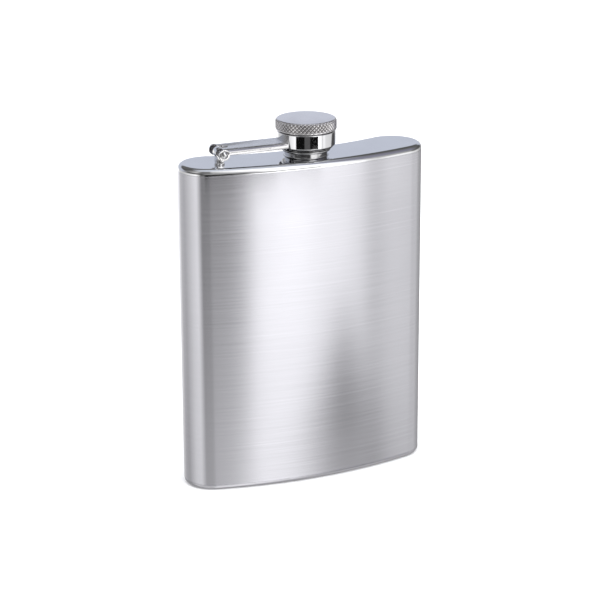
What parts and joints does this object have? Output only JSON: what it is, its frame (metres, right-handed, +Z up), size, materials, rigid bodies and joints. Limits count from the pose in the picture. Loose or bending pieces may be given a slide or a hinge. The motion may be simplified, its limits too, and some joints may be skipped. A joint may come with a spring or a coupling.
{
  "type": "hip flask",
  "caption": "Flat kidney-shaped steel hip flask with a knurled screw cap kept on a hinged arm.",
  "frame": {"origin": "centre of the base, on the surface the flask stands on", "axes": "+Z up through the neck, +X along the width away from the hinge, -Y out of the bowed front face, +Y out of the hollow back"},
  "size_m": [0.095, 0.0266, 0.1364],
  "materials": {
    "body_steel": "fine brushing across the width",
    "polished_steel": "mirror-polished stainless steel",
    "arm_steel": "satin top with bright bent edges",
    "spring_steel": "plain drawn wire stock",
    "cap_steel": "turned and polished, with a fine diamond knurl",
    "seal": "smooth food-safe liner"
  },
  "bodies": {
    "flask": {"body_wall": "body_steel", "top_plate": "polished_steel", "base_plate": "body_steel", "neck": "polished_steel", "hinge_post": "polished_steel"},
    "arm": {"hinge_arm": "arm_steel", "swivel_collar": "polished_steel", "hinge_pin": "polished_steel"},
    "cap_catch": {"retaining_ring": "spring_steel"},
    "cap": {"cap_head": "cap_steel", "cap_barrel": "cap_steel", "cap_seal": "seal"}
  },
  "joints": [
    {"name": "arm_swing", "type": "hinge", "parent": "flask", "child": "arm", "pos_m": [-0.0337, -0.0018, 0.1268], "axis": [0, -1, 0], "range_deg": [0, 180]},
    {"name": "cap_lift", "type": "slide", "parent": "arm", "child": "cap_catch", "axis": [0, 0, 1], "range_m": [0, 0.003]},
    {"name": "cap_turn", "type": "hinge", "parent": "cap_catch", "child": "cap", "pos_m": [0, -0.0018, 0.132], "axis": [0, 0, 1], "range_deg": [0, 540]}
  ],
  "couplings": [
    {"joint": "cap_lift", "follows": "cap_turn", "m_per_rad": 0.0003183}
  ]
}
